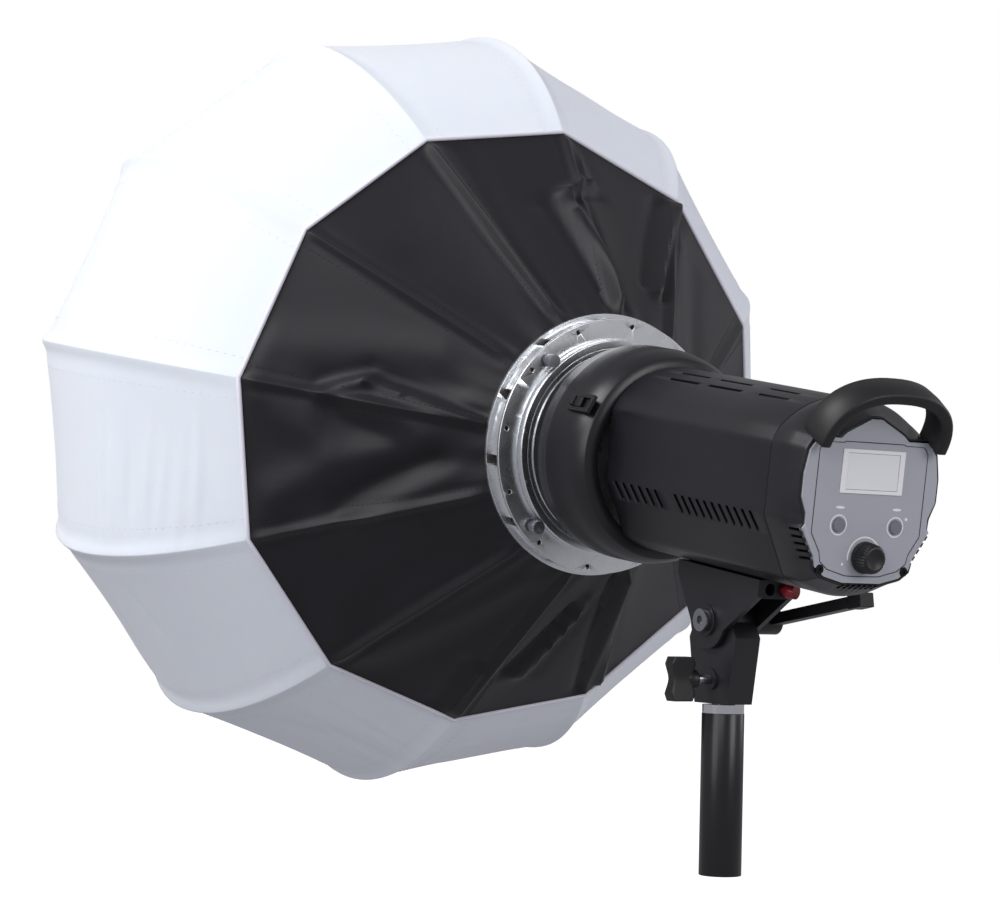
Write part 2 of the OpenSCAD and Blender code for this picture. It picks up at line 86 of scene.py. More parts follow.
def linear(code: str) -> tuple[float, float, float, float]:
    """Turns an sRGB hex code into a linear colour.

    Args:
        code: Six hex digits with a leading hash.

    Returns:
        Linear red, green, blue and an alpha of 1.
    """
    values = [int(code[i : i + 2], 16) / 255 for i in (1, 3, 5)]
    low = 0.04045
    done = [v / 12.92 if v <= low else ((v + 0.055) / 1.055) ** 2.4 for v in values]
    return (done[0], done[1], done[2], 1.0)


def add_node(
    tree: bpy.types.NodeTree, kind: str, settings: dict | None = None, inputs: dict | None = None
) -> bpy.types.Node:
    """Adds one shader node.

    Args:
        tree: The node tree that gets the node.
        kind: The node's type name.
        settings: Attributes to set on the node.
        inputs: Input names, each with a value or with an output socket to link.

    Returns:
        The new node.
    """
    node = tree.nodes.new(kind)
    for key, value in (settings or {}).items():
        setattr(node, key, value)
    for key, value in (inputs or {}).items():
        if isinstance(value, bpy.types.NodeSocket):
            tree.links.new(value, node.inputs[key])
        else:
            node.inputs[key].default_value = value
    return node


@dataclass(frozen=True)
class Finish:
    """One material: its colours, its gloss and the structure of its surface.

    Attributes:
        name: The real material and how its surface was made.
        colour: Main colour.
        second: Colour that the surface drifts towards in soft patches.
        roughness: Mean roughness.
        spread: How far the roughness drifts each way.
        metallic: 1 on bare metal.
        pattern: Structure of the surface.
        pitch: Size in millimetres of one grain or thread.
        depth: Depth in millimetres that the structure shows.
        patch: Size in millimetres of the soft patches.
        coat: Clear layer on top.
        sheen: Fibre sheen.
        subsurface: Light that passes through the surface.
        transmission: 1 on clear glass.
        alpha: Opacity.
        specular: Strength of the mirror reflection.
        glow: Strength of emission, which paints light into a surface that is no lamp.
    """

    name: str
    colour: str
    second: str
    roughness: float = 0.5
    spread: float = 0.05
    metallic: float = 0.0
    pattern: Pattern = Pattern.MOULDED
    pitch: float = 0.6
    depth: float = 0.02
    patch: float = 40.0
    coat: float = 0.0
    sheen: float = 0.0
    subsurface: float = 0.0
    transmission: float = 0.0
    alpha: float = 1.0
    specular: float = 0.5
    glow: float = 0.0

    def build(self) -> bpy.types.Material:
        """Makes the material once and returns it."""
        known = bpy.data.materials.get(self.name)
        if known:
            return known
        material = bpy.data.materials.new(self.name)
        material.use_nodes = True
        tree = material.node_tree
        shader = tree.nodes["Principled BSDF"]
        place = add_node(tree, "ShaderNodeTexCoord")
        patches = add_node(
            tree,
            "ShaderNodeTexNoise",
            inputs={"Vector": place.outputs["Object"], "Scale": 1 / (self.patch * MM), "Detail": 3.0},
        )
        mix = add_node(
            tree,
            "ShaderNodeMix",
            {"data_type": "RGBA"},
            {"Factor": patches.outputs["Fac"]},
        )
        mix.inputs[6].default_value = linear(self.colour)
        mix.inputs[7].default_value = linear(self.second)
        gloss = add_node(
            tree,
            "ShaderNodeMapRange",
            inputs={
                "Value": patches.outputs["Fac"],
                "To Min": max(0.02, self.roughness - self.spread),
                "To Max": self.roughness + self.spread,
            },
        )
        tree.links.new(mix.outputs[2], shader.inputs["Base Color"])
        tree.links.new(gloss.outputs["Result"], shader.inputs["Roughness"])
        self._relief(tree, shader, place)
        shader.inputs["Metallic"].default_value = self.metallic
        shader.inputs["Coat Weight"].default_value = self.coat
        shader.inputs["Coat Roughness"].default_value = 0.15
        shader.inputs["Sheen Weight"].default_value = self.sheen
        shader.inputs["Subsurface Weight"].default_value = self.subsurface
        shader.inputs["Subsurface Scale"].default_value = 0.01
        shader.inputs["Transmission Weight"].default_value = self.transmission
        shader.inputs["Alpha"].default_value = self.alpha
        shader.inputs["Specular IOR Level"].default_value = self.specular
        # Emission is painted light: it makes the display glow and keeps the floor evenly white, though
        # neither is a lamp
        if self.glow:
            shader.inputs["Emission Color"].default_value = linear(self.colour)
            shader.inputs["Emission Strength"].default_value = self.glow
        return material

    def _relief(self, tree: bpy.types.NodeTree, shader: bpy.types.Node, place: bpy.types.Node) -> None:
        """Adds the surface structure as bump.

        Args:
            tree: The material's node tree.
            shader: The shader that gets the normal.
            place: The texture coordinate node.
        """
        if self.pattern is Pattern.SMOOTH:
            return
        if self.pattern is Pattern.WEAVE:
            height = self._weave(tree, place)
        else:
            grain = add_node(
                tree,
                "ShaderNodeTexNoise",
                inputs={"Vector": place.outputs["Object"], "Scale": 1 / (self.pitch * MM), "Detail": 2.0},
            )
            height = grain.outputs["Fac"]
        bump = add_node(
            tree,
            "ShaderNodeBump",
            inputs={"Height": height, "Distance": self.depth * MM, "Strength": 1.0},
        )
        tree.links.new(bump.outputs["Normal"], shader.inputs["Normal"])

    def _weave(self, tree: bpy.types.NodeTree, place: bpy.types.Node) -> bpy.types.NodeSocket:
        """Crosses warp and weft threads on the piece's own UV map, which is in metres.

        Args:
            tree: The material's node tree.
            place: The texture coordinate node.

        Returns:
            The height of the woven surface.
        """
        threads = []
        for direction in ("X", "Y"):
            wave = add_node(
                tree,
                "ShaderNodeTexWave",
                {"wave_type": "BANDS", "bands_direction": direction},
                {
                    "Vector": place.outputs["UV"],
                    "Scale": 0.314 / (self.pitch * MM),
                    "Distortion": 0.4,
                    "Detail": 1.0,
                },
            )
            threads.append(wave.outputs["Fac"])
        cross = add_node(tree, "ShaderNodeMath", {"operation": "ADD"})
        tree.links.new(threads[0], cross.inputs[0])
        tree.links.new(threads[1], cross.inputs[1])
        crumple = add_node(
            tree,
            "ShaderNodeTexNoise",
            inputs={"Vector": place.outputs["Object"], "Scale": 22.0, "Detail": 4.0, "Roughness": 0.6},
        )
        scaled = add_node(tree, "ShaderNodeMath", {"operation": "MULTIPLY_ADD"})
        tree.links.new(crumple.outputs["Fac"], scaled.inputs[0])
        scaled.inputs[1].default_value = CRUMPLE
        tree.links.new(cross.outputs["Value"], scaled.inputs[2])
        return scaled.outputs["Value"]


CRUMPLE = 14.0  # height of the cloth's soft crumples, in thread heights

# Moulded ABS with a fine spark-eroded grain: satin black with a faint violet cast
SHELL = Finish("moulded_black_abs", "#121116", "#19181d", 0.34, 0.05, pitch=0.5, depth=0.012)
# Glass-filled nylon, a little duller and blacker than the shell
NYLON = Finish("moulded_black_nylon", "#0e0e10", "#151518", 0.42, 0.06, pitch=0.7, depth=0.02)
# Soft-touch coated handle
GRIP = Finish("soft_touch_grip", "#0e0e10", "#151517", 0.5, 0.05, pitch=0.8, depth=0.015)
# Moulded grey ABS front plate with a fine even grain
PANEL = Finish("moulded_grey_abs", "#a7a9b3", "#b0b2bb", 0.42, 0.04, pitch=0.4, depth=0.01)
# Screen-printed white ink
INK = Finish("white_ink", "#f4f4f6", "#eaeaee", 0.5, 0.02, pattern=Pattern.SMOOTH)
# Dark parting line between mouldings
GROOVE = Finish("shadow_groove", "#3a3b42", "#303138", 0.6, 0.02, pattern=Pattern.SMOOTH)
# Clear window over a pale unlit display; its glow is painted light that brightens the window evenly
DISPLAY_PAINTED_GLOW = Finish(
    "display_glass", "#e9ecee", "#dfe5e6", 0.12, 0.02, pattern=Pattern.SMOOTH, patch=30, coat=0.6, glow=0.7
)
# Bright zinc plating on pressed steel: cool grey with cloudy patches and soft reflections
ZINC = Finish(
    "zinc_plated_steel", "#f2f3f5", "#dde1e5", 0.27, 0.08, 1.0, Pattern.PLATED, pitch=8, depth=0.003, patch=22
)
# Turned and knurled steel
STEEL = Finish("turned_steel", "#a9abb0", "#8f9197", 0.3, 0.06, 1.0, Pattern.PLATED, pitch=1.5, depth=0.01)
# Decorative chrome
CHROME = Finish("chrome_plate", "#e6e7ea", "#dcdee2", 0.08, 0.03, 1.0, Pattern.SMOOTH)
# Powder-coated tube: black with the slight orange peel of baked powder
POWDER = Finish(
    "black_powder_coat", "#0e0e10", "#131316", 0.32, 0.05, pattern=Pattern.POWDER, pitch=1.2, depth=0.01
)
# Die-cast aluminium under satin paint
CAST = Finish(
    "painted_die_casting", "#141417", "#1f1f24", 0.38, 0.07, pattern=Pattern.POWDER, pitch=1.0, depth=0.02
)
# Black oxide screws
BLACK_SCREW = Finish("black_oxide_steel", "#101012", "#1a1a1c", 0.35, 0.06, 0.6, Pattern.SMOOTH)
# Coated nylon taffeta: threads a third of a millimetre apart, drawn at 0.8 so that they show
BLACK_CLOTH = Finish(
    "black_coated_taffeta", "#100f14", "#1a181f", 0.5, 0.05, 0.0, Pattern.WEAVE, 0.8, 0.03, 60,
    sheen=0.08, specular=0.28,
)
# White diffusion silk: fine plain weave that lets light through
WHITE_CLOTH = Finish(
    "white_diffusion_silk", "#f1f0f6", "#ebeaf3", 0.7, 0.04, 0.0, Pattern.WEAVE, 0.7, 0.02, 90,
    sheen=0.1, subsurface=0.15,
)
# Bias tape and piping of the same white, thicker thread
TAPE = Finish("white_bias_tape", "#e6e4ee", "#dcdae6", 0.75, 0.04, 0.0, Pattern.MOULDED, 0.5, 0.06, 30)
# Twisted sewing thread
THREAD = Finish("sewing_thread", "#e2e0ec", "#dad8e6", 0.8, 0.03, pitch=0.3, depth=0.04)
DARK_THREAD = Finish("dark_sewing_thread", "#141318", "#1b1a20", 0.7, 0.03, pitch=0.3, depth=0.04)
RED = Finish("moulded_red_plastic", "#9c1428", "#7f0f22", 0.3, 0.04, pattern=Pattern.SMOOTH)
FROST = Finish(
    "frosted_polycarbonate", "#c9cad0", "#bcbdc4", 0.55, 0.04, pattern=Pattern.SMOOTH, subsurface=0.2
)
CERAMIC = Finish("glazed_ceramic", "#ecebe4", "#e2e0d8", 0.2, 0.03, pattern=Pattern.SMOOTH)
ENAMEL = Finish("white_enamel", "#eeeeee", "#e6e6e6", 0.25, 0.03, pattern=Pattern.POWDER, pitch=2, depth=0.01)
GLASS = Finish("frosted_glass", "#f2f5f7", "#e9eef2", 0.35, 0.03, pattern=Pattern.SMOOTH, alpha=0.45)
BOARD = Finish("solder_mask", "#1d5a37", "#184c2f", 0.35, 0.05, pitch=1.5, depth=0.03)
SLEEVE = Finish("heat_shrink_sleeve", "#22346e", "#1c2c60", 0.4, 0.04, pattern=Pattern.SMOOTH)
BRASS = Finish("plated_brass", "#c9b072", "#b89d5e", 0.25, 0.04, 1.0, Pattern.SMOOTH)
BUTTON = Finish("moulded_button", "#7d7f89", "#73757f", 0.35, 0.03, pitch=0.4, depth=0.01)


def deselect() -> None:
    """Deselects every object."""
    bpy.ops.object.select_all(action="DESELECT")


def activate(piece: bpy.types.Object) -> None:
    """Makes a piece the only selected and active object."""
    deselect()
    piece.select_set(True)
    bpy.context.view_layer.objects.active = piece


def modify(piece: bpy.types.Object, kind: str, **settings: object) -> None:
    """Adds a modifier to a piece and applies it.

    Args:
        piece: The piece.
        kind: The modifier's type.
        **settings: Attributes of the modifier.
    """
    activate(piece)
    modifier = piece.modifiers.new(kind.lower(), kind)
    for key, value in settings.items():
        setattr(modifier, key, value)
    bpy.ops.object.modifier_apply(modifier=modifier.name)


def mesh_piece(name: str, points: list, faces: list) -> bpy.types.Object:
    """Makes an object from points and faces.

    Args:
        name: Name of the piece.
        points: Its points.
        faces: Its faces as lists of point numbers.

    Returns:
        The new object.
    """
    mesh = bpy.data.meshes.new(name)
    mesh.from_pydata([tuple(p) for p in points], [], faces)
    mesh.validate()
    piece = bpy.data.objects.new(name, mesh)
    bpy.context.scene.collection.objects.link(piece)
    return piece


def face_outwards(piece: bpy.types.Object) -> None:
    """Merges doubles and turns every face outwards."""
    activate(piece)
    bpy.ops.object.mode_set(mode="EDIT")
    bpy.ops.mesh.select_all(action="SELECT")
    bpy.ops.mesh.remove_doubles(threshold=1e-5)
    bpy.ops.mesh.normals_make_consistent(inside=False)
    bpy.ops.object.mode_set(mode="OBJECT")


def join(name: str, pieces: list[bpy.types.Object]) -> bpy.types.Object:
    """Joins pieces into one.

    Args:
        name: Name of the joined piece.
        pieces: The pieces to join.

    Returns:
        The joined piece.
    """
    deselect()
    for piece in pieces:
        piece.select_set(True)
    bpy.context.view_layer.objects.active = pieces[0]
    bpy.ops.object.join()
    pieces[0].name = name
    return pieces[0]


def box(name: str, centre: Point, size: Point, bevel: float = 0.0, steps: int = 2) -> bpy.types.Object:
    """Adds a cube, sizes it and rounds its edges.

    Args:
        name: Name of the piece.
        centre: Its centre.
        size: Its size along x, y and z.
        bevel: Width of the edge rounding.
        steps: Segments of the rounding.

    Returns:
        The new piece.
    """
    deselect()
    bpy.ops.mesh.primitive_cube_add(size=1)
    piece = bpy.context.active_object
    piece.name = name
    piece.data.transform(Matrix.Translation(centre) @ Matrix.Diagonal((*size, 1)))
    if bevel:
        modify(piece, "BEVEL", width=bevel, segments=steps, limit_method="ANGLE")
    return piece


def lathe(name: str, profile: list[Pair], steps: int = 96, bevel: float = 0.0) -> bpy.types.Object:
    """Spins a profile around the y axis.

    Args:
        name: Name of the piece.
        profile: Closed or open outline of (radius, y) points.
        steps: Steps around.
        bevel: Width of the edge rounding.

    Returns:
        The new piece.
    """
    points = [(r, y, 0) for r, y in profile]
    count = len(points)
    mesh = bpy.data.meshes.new(name)
    mesh.from_pydata(points, [(i, (i + 1) % count) for i in range(count)], [])
    piece = bpy.data.objects.new(name, mesh)
    bpy.context.scene.collection.objects.link(piece)
    activate(piece)
    bpy.ops.object.mode_set(mode="EDIT")
    bpy.ops.mesh.select_all(action="SELECT")
    bpy.ops.mesh.spin(steps=steps, angle=2 * math.pi, center=(0, 0, 0), axis=(0, 1, 0))
    bpy.ops.object.mode_set(mode="OBJECT")
    face_outwards(piece)
    if bevel:
        modify(piece, "BEVEL", width=bevel, segments=2, limit_method="ANGLE", angle_limit=math.radians(35))
    return piece


def loft(name: str, rings: list[list[Point]], closed: bool = True, caps: bool = True) -> bpy.types.Object:
    """Joins rings of equally many points with a skin.

    Args:
        name: Name of the piece.
        rings: The rings, from one end to the other.
        closed: Whether each ring closes on itself.
        caps: Whether the ends are filled.

    Returns:
        The new piece.
    """
    count = len(rings[0])
    points = [p for ring in rings for p in ring]
    faces = []
    for i in range(len(rings) - 1):
        for k in range(count if closed else count - 1):
            n = (k + 1) % count
            a, b = i * count, (i + 1) * count
            faces.append([a + k, a + n, b + n, b + k])
    if caps:
        faces.append(list(range(count)))
        faces.append([len(points) - count + k for k in range(count)][::-1])
    piece = mesh_piece(name, points, faces)
    face_outwards(piece)
    return piece


def turn_and_move(piece: bpy.types.Object, where: Point, angles: Point) -> None:
    """Turns a piece that is centred on its origin, then moves it.

    Args:
        piece: The piece.
        where: Where its centre goes.
        angles: Turns about x, y and z in radians.
    """
    piece.data.transform(Matrix.Translation(where) @ Euler(angles).to_matrix().to_4x4())


def smooth(piece: bpy.types.Object, degrees: float = 35.0) -> None:
    """Shades a piece smooth, with edges sharper than the angle left crisp."""
    activate(piece)
    bpy.ops.object.shade_smooth_by_angle(angle=math.radians(degrees))


class Placement:
    """Puts pieces that were modelled in the head's frame into the row frame."""

    def __init__(self, frame: dict) -> None:
        """Reads the head's frame from the joint that turns the softbox.
        """
        joints = {joint["name"]: joint for joint in frame["joints"]}
        turn = joints["softbox_turn"]
        along = Vector(turn["axis"]).normalized()
        side = Vector((1, 0, 0))
        up = side.cross(along)
        matrix = Matrix((side, along, up)).transposed().to_4x4()
        matrix.translation = Vector(turn["pos_m"])
        self.head = matrix @ Matrix.Scale(MM, 4)
        self.upright = Matrix.Scale(MM, 4)
        self.nodes = frame["nodes"]

    def settle(
        self,
        piece: bpy.types.Object,
        matrix: Matrix,
        finish: Finish,
        body: str,
        slot: str,
        stands_for: tuple[str, ...] = (),
        angle: float = 35.0,
    ) -> bpy.types.Object:
        """Places a piece, gives it its finish and lets it ride on its body.

        Args:
            piece: The piece.
            matrix: Takes its modelling frame to the row frame.
            finish: Its finish.
            body: The body that carries it.
            slot: The record's material slot; not used.
            stands_for: CAD nodes that it replaces.
            angle: Edges sharper than this stay crisp.

        Returns:
            The piece.
        """
        piece.data.transform(matrix)
        piece.data.update()
        piece.data.materials.clear()
        piece.data.materials.append(finish.build())
        smooth(piece, angle)
        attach(piece, body)
        if stands_for:
            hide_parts(*stands_for)
        LOG.info("%s: %d faces on %s", piece.name, len(piece.data.polygons), body)
        return piece

    def dress(self, node: str, finish: Finish, bevel: float = 0.4) -> None:
        """Gives a CAD node its finish and rounded edges.

        Args:
            node: The node's name.
            finish: Its finish.
            bevel: Width of its edge rounding in millimetres.
        """
        piece = self.nodes[node]
        piece.data.materials.clear()
        piece.data.materials.append(finish.build())
        weld = piece.modifiers.new("weld", "WELD")
        weld.merge_threshold = 1e-6
        if bevel:
            edge = piece.modifiers.new("edges", "BEVEL")
            edge.width = bevel * MM
            edge.segments = 2
            edge.limit_method = "ANGLE"
            edge.angle_limit = math.radians(40)
            edge.use_clamp_overlap = True
            edge.harden_normals = True


@dataclass
class Crease:
    """One fold in the cloth between two places.

    Attributes:
        start: Angle around the head in degrees and share of the way out.
        end: The same at its other end.
        height: How far it stands out, in millimetres.
        width: Half its width, in millimetres.
    """

    start: Pair
    end: Pair
    height: float
    width: float


@dataclass
class Softbox:
    """The cloth covers, their seams and the hem.

    Attributes:
        ribs: Number of rods and gores.
        turn: Turn of the softbox about the head's axis in degrees.
        radius: Radius of the widest section at the rods.
        depth: Half the length of the full ellipsoid.
        ahead: Distance of the widest section in front of the speedring.
        edge: Distance of the black panel's edge in front of the speedring.
        ring: Radius and level of the black panel's inner edge.
        hub: Radius of the front cap.
        rows: Rows of points along a gore.
        columns: Columns of points across a gore.
        pulled: Gores that are pulled askew and wrinkle beside the hem.
        arc: Length of a white gore along its rods.
        slope: Length of a black gore.
        cloth: Thickness of the cloth.
        crowding: How much the rows of a white gore crowd towards the hem.
        panel_rows: Rows of points along a black gore.
    """

    place: Placement
    ribs: int = 12
    turn: float = 9.3
    radius: float = 325.0
    depth: float = 260.0
    ahead: float = 328.0
    edge: float = 155.0
    ring: Pair = (98.5, -17.2)
    hub: float = 24.0
    rows: int = 150
    columns: int = 26
    pulled: tuple[int, ...] = (3, 5, 9)
    arc: float = 620.0
    slope: float = 198.0
    cloth: float = 0.7
    crowding: float = 1.6
    panel_rows: int = 64
    creases: list[Crease] = field(init=False)

    def __post_init__(self) -> None:
        """Works out the rod angle, the panel's edge and the folds of the black panel."""
        self.step = 360.0 / self.ribs
        self.half = math.radians(self.step / 2)
        self.edge_t = math.acos((self.ahead - self.edge) / self.depth)
        self.hub_t = math.pi - math.asin(self.hub / self.radius)
        self.edge_r = self.radius * math.sin(self.edge_t)
        seam = [self.turn + self.step / 2 + self.step * k for k in range(self.ribs)]
        self.creases = [
            Crease((seam[2], 0.68), (seam[2] - 5.5, 0.52), 5.0, 5.0),
            Crease((seam[2] - 5.5, 0.52), (seam[2] - 1.0, 0.05), 4.5, 5.0),
            Crease((seam[2] + 4.0, 0.62), (seam[2] + 11.0, 0.36), -4.5, 11.0),
            Crease((seam[2] + 9.0, 0.28), (seam[2] + 22.0, 0.88), 5.0, 13.0),
            Crease((seam[2] + 15.0, 0.22), (seam[2] + 27.0, 0.62), -4.5, 10.0),
            Crease((seam[2] + 3.0, 0.92), (seam[2] + 13.0, 0.66), 3.0, 12.0),
            Crease((seam[1] + 10.0, 0.30), (seam[1] + 22.0, 0.90), 3.2, 14.0),
            Crease((seam[1] + 20.0, 0.20), (seam[1] + 27.0, 0.72), -2.6, 12.0),
            Crease((seam[11] - 1.0, 0.98), (seam[11] - 4.0, 0.76), 2.0, 4.0),
            Crease((seam[11] - 4.0, 0.76), (seam[11] + 4.5, 0.66), 5.0, 5.0),
            Crease((seam[11] + 4.5, 0.66), (seam[11] - 1.0, 0.08), 6.5, 5.5),
            Crease((seam[11] + 9.0, 0.62), (seam[11] + 3.0, 0.10), -4.0, 8.0),
            Crease((seam[10] + 1.0, 0.96), (seam[10] + 6.0, 0.30), 5.5, 5.0),
            Crease((seam[10] + 5.0, 0.92), (seam[10] + 10.0, 0.34), -4.0, 6.0),
            Crease((seam[0] - 1.0, 0.95), (seam[0] + 1.0, 0.10), 2.4, 5.0),
            Crease((seam[4] + 16.0, 0.20), (seam[4] + 3.0, 0.86), 2.4, 12.0),
            Crease((seam[5] - 1.5, 1.0), (seam[5] - 3.0, 0.70), 5.0, 5.0),
            Crease((seam[5] + 14.0, 0.30), (seam[5] + 5.0, 0.70), -5.0, 6.0),
            Crease((seam[5] + 18.0, 0.25), (seam[5] + 10.0, 0.74), 4.0, 6.0),
            Crease((seam[6] - 4.0, 0.12), (seam[6] - 1.0, 0.97), -5.5, 6.0),
            Crease((seam[6] + 1.5, 0.12), (seam[6] + 3.0, 0.97), 4.0, 5.0),
            Crease((seam[3] + 8.0, 0.35), (seam[3] + 20.0, 0.85), 2.2, 13.0),
            Crease((seam[7] + 8.0, 0.30), (seam[7] + 18.0, 0.85), 3.0, 12.0),
            Crease((seam[8] + 18.0, 0.30), (seam[8] + 9.0, 0.85), 3.0, 12.0),
            Crease((seam[9] + 10.0, 0.25), (seam[9] + 19.0, 0.80), -3.0, 11.0),
        ]

    def across(self) -> np.ndarray:
        """Returns places across a gore from -1 to 1, closer together near its seams."""
        return np.sin(np.linspace(-math.pi / 2, math.pi / 2, self.columns + 1))

    def wrinkles(self, gore: int, u: np.ndarray, along: np.ndarray) -> np.ndarray:
        """Soft wrinkles that run from rod to rod.

        Args:
            gore: Number of the gore, which seeds its wrinkles.
            u: Places across the gore from -1 to 1.
            along: Distance along the gore in millimetres.

        Returns:
            Heights in millimetres.
        """
        rng = np.random.default_rng(100 + gore)
        total = np.zeros_like(u)
        if gore in self.pulled:
            for at in np.arange(40, 165, 15):
                line = at + rng.uniform(-3, 3) + rng.uniform(4, 14) * u
                reach = np.exp(-(((u - rng.uniform(0.2, 0.7)) / rng.uniform(0.5, 0.9)) ** 2)) * (1 - u**8)
                height = rng.uniform(1.1, 2.4)
                total += height * np.exp(-(((along - line) / rng.uniform(4.5, 6.5)) ** 2)) * reach
        for _ in range(9):
            at = rng.uniform(20, 520)
            width = rng.uniform(4, 10)
            lean = rng.uniform(-26, 26)
            height = rng.uniform(0.5, 1.7) * rng.choice([-1, 1], p=[0.6, 0.4])
            near = rng.uniform(-0.6, 0.6)
            reach = rng.uniform(0.45, 0.9)
            line = at + lean * u + rng.uniform(-10, 10) * u * u
            fade = np.exp(-(((u - near) / reach) ** 2) * 1.6) * (1 - u**6)
            total += height * np.exp(-(((along - line) / width) ** 2)) * fade
        return total

    def sheet(self, name: str, seams: list[int], surface: Surface, finish: Finish) -> bpy.types.Object:
        """Builds one closed sheet of gores with UVs in metres.

        Args:
            name: Name of the piece.
            seams: Numbers of the gores.
            surface: Gives the points and the UV of one gore.
            finish: The cloth.

        Returns:
            The piece, in the head's frame.
        """
        points: list = []
        faces: list = []
        uvs: list = []
        for gore in seams:
            grid, flat = surface(gore)
            rows, columns = grid.shape[0], grid.shape[1]
            first = len(points)
            points.extend(grid.reshape(-1, 3).tolist())
            for i in range(rows - 1):
                for k in range(columns - 1):
                    a = i * columns + k
                    quad = [a, a + columns, a + columns + 1, a + 1]
                    faces.append([first + q for q in quad])
                    uvs.extend(flat.reshape(-1, 2)[q] for q in quad)
        piece = mesh_piece(name, points, faces)
        layer = piece.data.uv_layers.new(name="cloth")
        layer.data.foreach_set("uv", np.array(uvs, dtype=np.float32).ravel())
        activate(piece)
        bpy.ops.object.mode_set(mode="EDIT")
        bpy.ops.mesh.select_all(action="SELECT")
        bpy.ops.mesh.remove_doubles(threshold=0.05)
        bpy.ops.mesh.normals_make_consistent(inside=False)
        bpy.ops.object.mode_set(mode="OBJECT")
        piece.data.materials.append(finish.build())
        modify(piece, "SOLIDIFY", thickness=self.cloth, offset=-1)
        return piece

    def points(self, angle: np.ndarray, r: np.ndarray, y: np.ndarray) -> np.ndarray:
        """Turns angle, radius and level into points of the head's frame."""
        return np.stack([r * np.sin(angle), y, r * np.cos(angle)], axis=-1)

    def diffuser_gore(self, gore: int) -> tuple[np.ndarray, np.ndarray]:
        """Shapes one white gore between two rods.

        Args:
            gore: Number of the gore.

        Returns:
            Its grid of points and its UV grid.
        """
        u, s = np.meshgrid(self.across(), np.linspace(0, 1, self.rows + 1) ** self.crowding)
        t = self.edge_t + (self.hub_t - self.edge_t) * s
        local = self.half * u
        rod_r = self.radius * np.sin(t)
        r = rod_r * math.cos(self.half) / np.cos(local)
        y = -self.ahead + self.depth * np.cos(t)
        half_width = np.maximum(rod_r * math.sin(self.half), 1.0)
        from_rod = (1 - np.abs(u)) * half_width
        length = self.arc * s
        swell = np.sin(np.pi * np.clip(s, 0, 1)) ** 0.5
        lift = -2.2 * (1 - u**2) * swell * np.clip(half_width / 60, 0, 1)
        lift += 2.3 * np.exp(-((from_rod / 5.5) ** 2)) * swell
        lift -= 1.1 * np.exp(-(((from_rod - 11.0) / 2.0) ** 2)) * swell
        lift += self.wrinkles(gore, u, length) * swell * np.clip(half_width / 50, 0, 1)
        r = r + lift * np.sin(t)
        y = y + lift * np.cos(t)
        angle = math.radians(self.turn + self.step * gore) + local
        uv = np.stack([u * half_width * MM, length * MM], axis=-1)
        return self.points(angle, r, y), uv

    def panel_gore(self, gore: int) -> tuple[np.ndarray, np.ndarray]:
        """Shapes one black gore between the speedring and the hem.

        Args:
            gore: Number of the gore.

        Returns:
            Its grid of points and its UV grid.
        """
        u, s = np.meshgrid(self.across(), np.linspace(0, 1, self.panel_rows))
        local = self.half * u
        rod_r = self.ring[0] + (self.edge_r - self.ring[0]) * s
        y = self.ring[1] + (-self.edge - self.ring[1]) * s
        r = rod_r * math.cos(self.half) / np.cos(local)
        rise = math.atan2(self.edge_r - self.ring[0], self.edge + self.ring[1])
        half_width = rod_r * math.sin(self.half)
        from_rod = (1 - np.abs(u)) * half_width
        held = np.clip(s / 0.08, 0, 1) * np.clip((1 - s) / 0.05, 0, 1)
        lift = -4.5 * (1 - u**2) * np.sin(np.pi * s) ** 0.7
        lift += 2.4 * np.exp(-((from_rod / 3.0) ** 2)) * held
        lift -= 1.0 * np.exp(-(((from_rod - 7.0) / 1.8) ** 2)) * held
        degrees = self.turn + self.step * gore + np.degrees(local)
        for crease in self.creases:
            lift += self.fold(crease, degrees, s) * held
        gathers = np.sin(np.radians(degrees) * 34 + 2.0 * np.sin(np.radians(degrees) * 5))
        lift += 1.2 * gathers * np.exp(-s / 0.10) * np.clip(s / 0.03, 0, 1)
        r = r + lift * math.cos(rise)
        y = y + lift * math.sin(rise)
        angle = np.radians(degrees)
        uv = np.stack([u * half_width * MM, s * 0.2], axis=-1)
        return self.points(angle, r, y), uv

    def fold(self, crease: Crease, degrees: np.ndarray, s: np.ndarray) -> np.ndarray:
        """Height of one fold over the black panel.

        Args:
            crease: The fold.
            degrees: Angles of the points around the head.
            s: Shares of the way out.

        Returns:
            Heights in millimetres.
        """
        mean_r = 0.5 * (self.ring[0] + self.edge_r)
        turned = (degrees - crease.start[0] + 180) % 360 - 180
        span = (crease.end[0] - crease.start[0] + 180) % 360 - 180
        px = np.radians(turned) * mean_r
        py = (s - crease.start[1]) * self.slope
        dx = math.radians(span) * mean_r
        dy = (crease.end[1] - crease.start[1]) * self.slope
        length = math.hypot(dx, dy)
        along = (px * dx + py * dy) / length
        aside = (px * dy - py * dx) / length
        inside = np.clip(along, 0, length)
        past = along - inside
        near = np.exp(-((past / (crease.width * 1.3)) ** 2))
        ridge = np.exp(-((aside / crease.width) ** 2))
        valley = np.exp(-(((aside - 2.1 * crease.width) / crease.width) ** 2))
        return crease.height * (ridge - 0.45 * valley) * near

    def piping(self) -> bpy.types.Object:
        """Builds the white piped hem along the edge of the black panel."""
        rings = []
        for corner in range(self.ribs * 8):
            share = corner / 8
            gore, part = divmod(share, 1)
            u = 2 * part - 1
            local = self.half * u
            r = self.edge_r * math.cos(self.half) / math.cos(local)
            angle = math.radians(self.turn + self.step * gore) + local
            ring = []
            for k in range(10):
                a = 2 * math.pi * k / 10
                rr = r + 0.6 + 1.7 * math.cos(a)
                ring.append((rr * math.sin(angle), -self.edge + 1.9 * math.sin(a), rr * math.cos(angle)))
            rings.append(ring)
        return loft("hem_piping", rings + rings[:1], caps=False)

